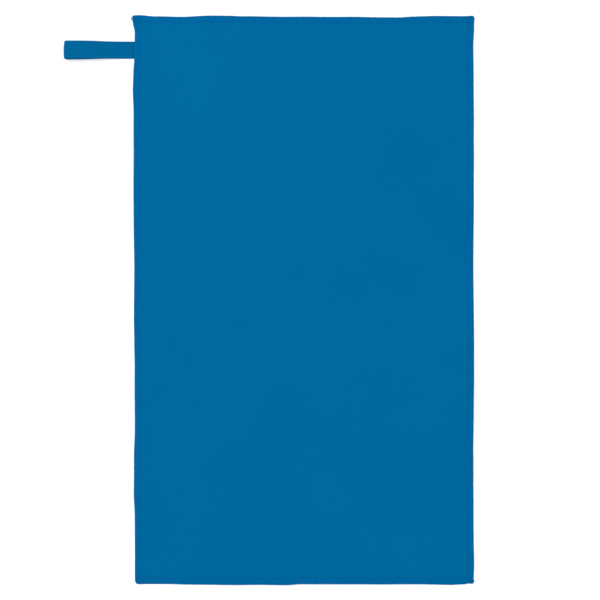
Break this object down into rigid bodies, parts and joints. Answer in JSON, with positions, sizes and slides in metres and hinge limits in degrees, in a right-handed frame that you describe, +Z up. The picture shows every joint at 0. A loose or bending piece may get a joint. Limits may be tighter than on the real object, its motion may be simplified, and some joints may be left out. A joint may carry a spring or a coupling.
{
  "type": "quick dry towel",
  "caption": "Plain rectangular microfibre towel with overlocked edges and a hanging loop, which folds in half across its middle.",
  "frame": {"origin": "middle of the cloth's underside, where the towel rests", "axes": "+Z up out of the towel's face as it lies flat, +Y along its length towards the end with the hanging loop, -X the side that the loop sticks out of"},
  "size_m": [0.3628, 0.502, 0.0064],
  "materials": {
    "towel_cloth": "matt brushed microfibre suede, teal blue",
    "overlock_thread": "soft textured polyester thread, teal blue",
    "sewing_thread": "spun polyester thread, teal blue",
    "loop_fabric": "matt knitted microfibre strip, teal blue"
  },
  "bodies": {
    "fixed_half": {"cloth_fixed_half": "towel_cloth", "top_needle_thread": "sewing_thread", "top_upper_looper_thread": "overlock_thread", "top_lower_looper_thread": "overlock_thread", "left_needle_thread_fixed_half": "sewing_thread", "left_upper_looper_thread_fixed_half": "overlock_thread", "left_lower_looper_thread_fixed_half": "overlock_thread", "right_needle_thread_fixed_half": "sewing_thread", "right_upper_looper_thread_fixed_half": "overlock_thread", "right_lower_looper_thread_fixed_half": "overlock_thread", "loop_sewn_ends": "loop_fabric"},
    "folding_half": {"cloth_folding_half": "towel_cloth", "bottom_needle_thread": "sewing_thread", "bottom_upper_looper_thread": "overlock_thread", "bottom_lower_looper_thread": "overlock_thread", "left_needle_thread_folding_half": "sewing_thread", "left_upper_looper_thread_folding_half": "overlock_thread", "left_lower_looper_thread_folding_half": "overlock_thread", "right_needle_thread_folding_half": "sewing_thread", "right_upper_looper_thread_folding_half": "overlock_thread", "right_lower_looper_thread_folding_half": "overlock_thread"},
    "hanging_loop": {"loop_strip": "loop_fabric", "loop_needle_thread_row_1": "sewing_thread", "loop_needle_thread_row_2": "sewing_thread", "loop_bobbin_thread_row_1": "sewing_thread", "loop_bobbin_thread_row_2": "sewing_thread"}
  },
  "joints": [
    {"name": "fold_in_half", "type": "hinge", "parent": "fixed_half", "child": "folding_half", "pos_m": [0, -0.0015, 0.0021], "axis": [-1, 0, 0], "range_deg": [0, 179.5]},
    {"name": "loop_swing", "type": "hinge", "parent": "fixed_half", "child": "hanging_loop", "pos_m": [-0.152, 0.2212, -0.00015], "axis": [0, 1, 0], "range_deg": [-178, 90]}
  ]
}
